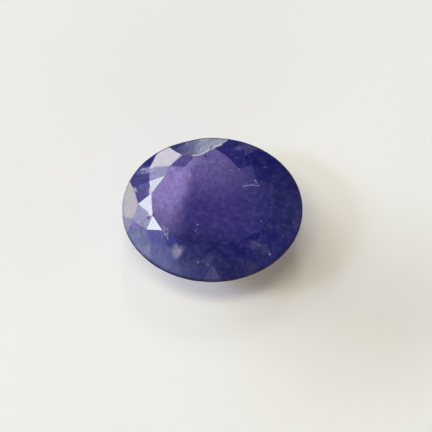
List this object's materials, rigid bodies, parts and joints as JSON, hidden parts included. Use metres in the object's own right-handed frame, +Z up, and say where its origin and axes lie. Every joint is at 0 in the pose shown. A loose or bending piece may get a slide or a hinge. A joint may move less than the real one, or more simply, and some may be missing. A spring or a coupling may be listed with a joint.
{
  "type": "oval faceted tanzanite gemstone",
  "caption": "Oval mixed-cut violet-blue gemstone with a flat table, stepped crown, thin girdle, tapering pavilion and a shallow chip in the back edge.",
  "frame": {"origin": "on the ground under the middle of the stone, in the plane of the culet", "axes": "+X along the oval's length, +Y towards the back, where the chip is, +Z up through the table"},
  "size_m": [0.012, 0.01, 0.0058],
  "materials": {
    "gemstone": "polished, slightly milky and included"
  },
  "bodies": {
    "root": {"gemstone": "gemstone"}
  },
  "joints": []
}
